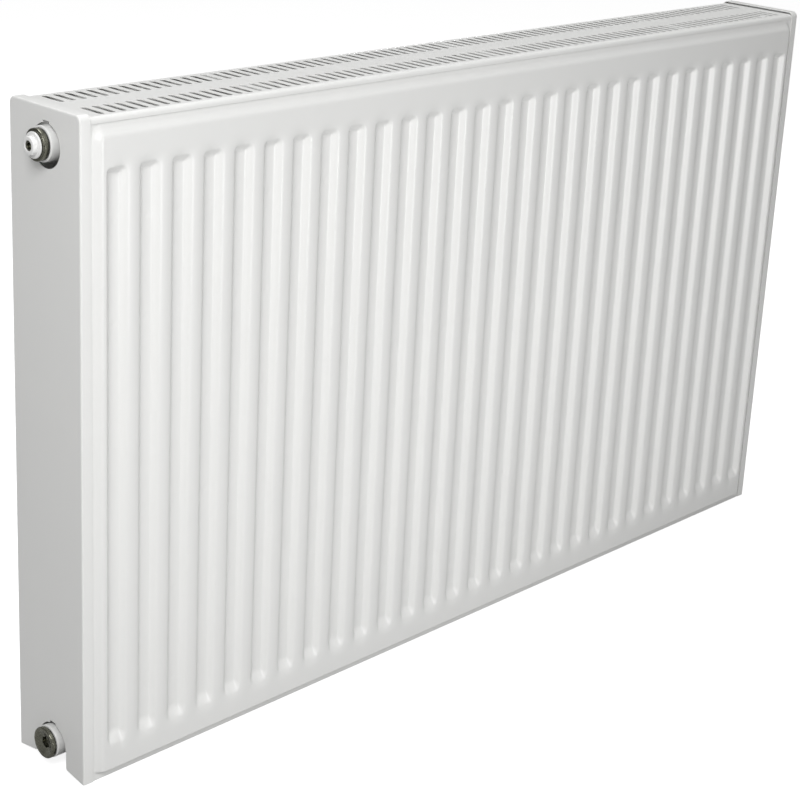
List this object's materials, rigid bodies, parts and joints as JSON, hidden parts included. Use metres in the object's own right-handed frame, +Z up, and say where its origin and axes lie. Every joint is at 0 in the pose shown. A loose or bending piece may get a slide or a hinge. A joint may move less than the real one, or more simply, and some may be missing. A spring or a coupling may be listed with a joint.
{
  "type": "panel radiator",
  "caption": "Flat steel double-panel radiator with vertical water channels, inner convectors, side covers, top grille, air vent and blanking plug.",
  "frame": {"origin": "middle of the base of the radiator's box, under its middle, at the height of the panels' bottom edges", "axes": "+X along the length to the right seen from the room, -Y towards the room, +Y towards the wall, +Z up"},
  "size_m": [1.019, 0.114, 0.6],
  "materials": {
    "white_enamel": "satin powder coat",
    "convector_paint": "thin satin dip coat",
    "dark_nickel": "dark nickel plate",
    "white_plastic": "moulded, half gloss",
    "seal_rubber": "matt",
    "spring_steel": "zinc plated"
  },
  "bodies": {
    "radiator": {"front_panel_front_sheet": "white_enamel", "front_panel_back_sheet": "white_enamel", "rear_panel_front_sheet": "white_enamel", "rear_panel_back_sheet": "white_enamel", "front_convector": "convector_paint", "rear_convector": "convector_paint", "tee_top_left": "white_enamel", "tee_bottom_left": "white_enamel", "tee_top_right": "white_enamel", "tee_bottom_right": "white_enamel", "lug_upper_left": "white_enamel", "lug_upper_right": "white_enamel", "lug_lower_left": "white_enamel", "lug_lower_right": "white_enamel", "blanking_plug": "dark_nickel", "blanking_plug_seal": "seal_rubber", "air_vent_plug": "dark_nickel", "air_vent_seal": "seal_rubber"},
    "nozzle": {"air_vent_nozzle": "white_plastic"},
    "spindle": {"air_vent_spindle": "dark_nickel"},
    "grille": {"top_grille": "white_enamel", "grille_clip_left": "spring_steel", "grille_clip_middle": "spring_steel", "grille_clip_right": "spring_steel"},
    "cover_left": {"left_cover": "white_enamel", "left_cover_clip_upper": "spring_steel", "left_cover_clip_lower": "spring_steel"},
    "cover_right": {"right_cover": "white_enamel", "right_cover_clip_upper": "spring_steel", "right_cover_clip_lower": "spring_steel"}
  },
  "joints": [
    {"name": "nozzle_turn", "type": "hinge", "parent": "radiator", "child": "nozzle", "pos_m": [-0.5055, -0.005, 0.569], "axis": [-1, 0, 0], "continuous": true},
    {"name": "spindle_turn", "type": "hinge", "parent": "radiator", "child": "spindle", "pos_m": [-0.5055, -0.005, 0.569], "axis": [-1, 0, 0], "range_deg": [0, 540]},
    {"name": "grille_lift", "type": "slide", "parent": "radiator", "child": "grille", "axis": [0, 0, 1], "range_m": [0, 0.06]},
    {"name": "left_cover_pull", "type": "slide", "parent": "radiator", "child": "cover_left", "axis": [-1, 0, 0], "range_m": [0, 0.05]},
    {"name": "right_cover_pull", "type": "slide", "parent": "radiator", "child": "cover_right", "axis": [1, 0, 0], "range_m": [0, 0.05]}
  ]
}
